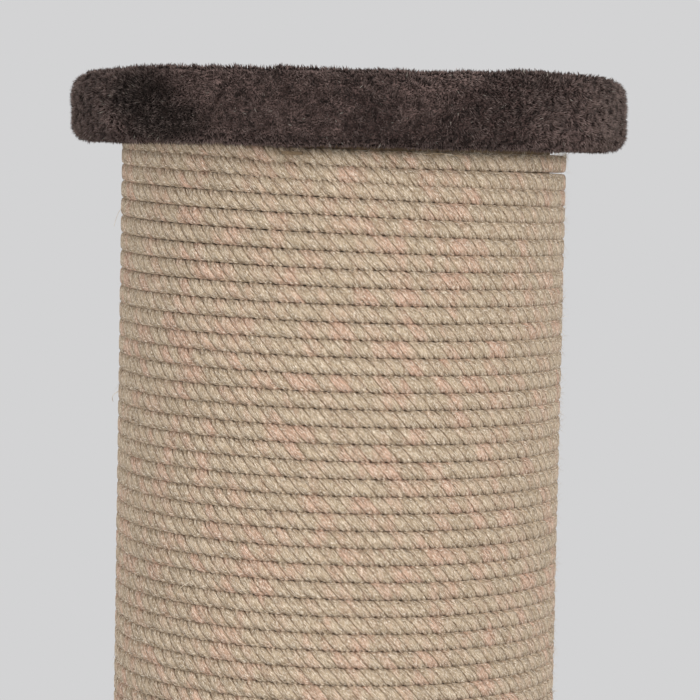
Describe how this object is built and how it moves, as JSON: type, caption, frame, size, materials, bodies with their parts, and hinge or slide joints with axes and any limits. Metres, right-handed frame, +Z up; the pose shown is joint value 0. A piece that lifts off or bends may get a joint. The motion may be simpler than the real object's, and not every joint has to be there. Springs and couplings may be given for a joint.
{
  "type": "cat scratching post",
  "caption": "Upright round post closely wound with sisal rope, under a plush-covered flat cap, on a wide plush-covered round base with rubber feet; a cat claws the rope.",
  "frame": {"origin": "on the floor, under the post's axis, in the middle of the base", "axes": "+Z up along the post's axis; -Y is the front, as pictured, where a staple holds the rope's first turn; +X to the right seen from the front"},
  "size_m": [0.3999, 0.4, 0.649],
  "materials": {
    "particle_board": "raw sawn particle board",
    "plush": "dark taupe short-pile plush",
    "sisal": "natural three-strand sisal rope",
    "cardboard": "spiral-wound grey-brown board",
    "zinc_steel": "bright zinc plate",
    "rubber": "matt black rubber"
  },
  "bodies": {
    "root": {"base_board": "particle_board", "base_cover": "plush", "base_cover_staples": "zinc_steel", "base_feet": "rubber", "base_bolt": "zinc_steel", "base_washer": "zinc_steel", "bottom_plug": "particle_board", "top_plug": "particle_board", "plug_staples": "zinc_steel", "threaded_inserts": "zinc_steel", "post_tube": "cardboard", "sisal_rope": "sisal", "rope_staples": "zinc_steel", "cap_stud": "zinc_steel", "cap_board": "particle_board", "cap_cover": "plush", "cap_cover_staples": "zinc_steel"}
  },
  "joints": []
}
